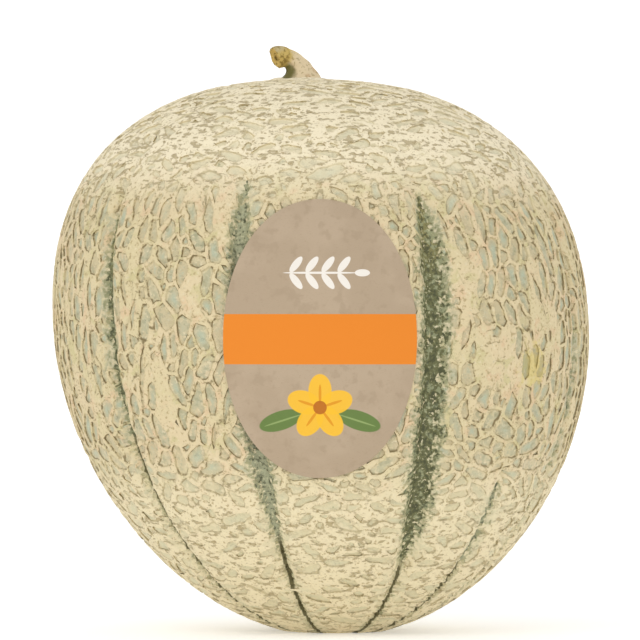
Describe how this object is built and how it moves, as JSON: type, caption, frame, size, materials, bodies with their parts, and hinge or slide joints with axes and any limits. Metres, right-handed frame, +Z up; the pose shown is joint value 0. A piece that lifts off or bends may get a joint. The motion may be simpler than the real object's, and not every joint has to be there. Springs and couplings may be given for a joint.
{
  "type": "cantaloupe melon",
  "caption": "Whole netted melon, round with a tapered blossom end, lengthwise sutures, a raised cork net, a bent stalk stub on top and an oval paper label without words on the front.",
  "frame": {"origin": "middle of the small flat spot at the blossom end, which the melon rests on", "axes": "+Z up to the stalk, -Y out of the front where the label is, +X to the right seen from the front"},
  "size_m": [0.1409, 0.1417, 0.1538],
  "materials": {
    "rind": "matte",
    "stalk": "rough",
    "paper": "matte"
  },
  "bodies": {
    "root": {"melon": "rind", "stem": "stalk", "label": "paper"}
  },
  "joints": []
}
